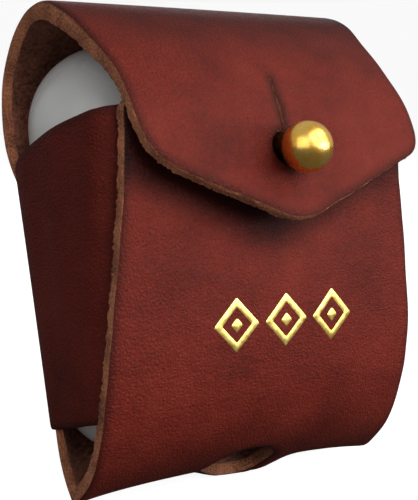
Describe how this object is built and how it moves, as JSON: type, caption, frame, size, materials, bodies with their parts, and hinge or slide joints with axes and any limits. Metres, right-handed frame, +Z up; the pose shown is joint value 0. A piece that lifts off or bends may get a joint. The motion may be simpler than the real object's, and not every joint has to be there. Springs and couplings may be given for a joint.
{
  "type": "leather flap case",
  "caption": "Small stitchless leather flap case round a rounded white pocket-sized case, closed by a ball stud through a slit buttonhole, with a plug hole in the bottom fold.",
  "frame": {"origin": "centre of the whole case's footprint, on the surface it stands on, under the bottom fold", "axes": "+X to the right as seen from the front, +Y from the stud to the rear, +Z up"},
  "size_m": [0.048, 0.0438, 0.0632],
  "materials": {
    "strap_leather": "vegetable-tanned hide, fine pores, satin, tan fibrous cut edges",
    "band_leather": "same hide, darker and duller",
    "polished_brass": "polished",
    "gold_foil": "bright hot-stamped foil",
    "white_plastic": "glossy, smooth",
    "steel": "satin"
  },
  "bodies": {
    "root": {"main_strap": "strap_leather", "side_band": "band_leather", "stud": "polished_brass", "stud_screw": "polished_brass", "foil_stamp": "gold_foil", "contents_base": "white_plastic", "contents_lid": "white_plastic", "contents_hinge": "steel", "charging_port": "steel"},
    "flap": {"flap": "strap_leather"}
  },
  "joints": [
    {"name": "flap_hinge", "type": "hinge", "parent": "root", "child": "flap", "pos_m": [0, 0.0207, 0.04524], "axis": [-1, 0, 0], "range_deg": [0, 120], "deforming": ["flap"]}
  ]
}
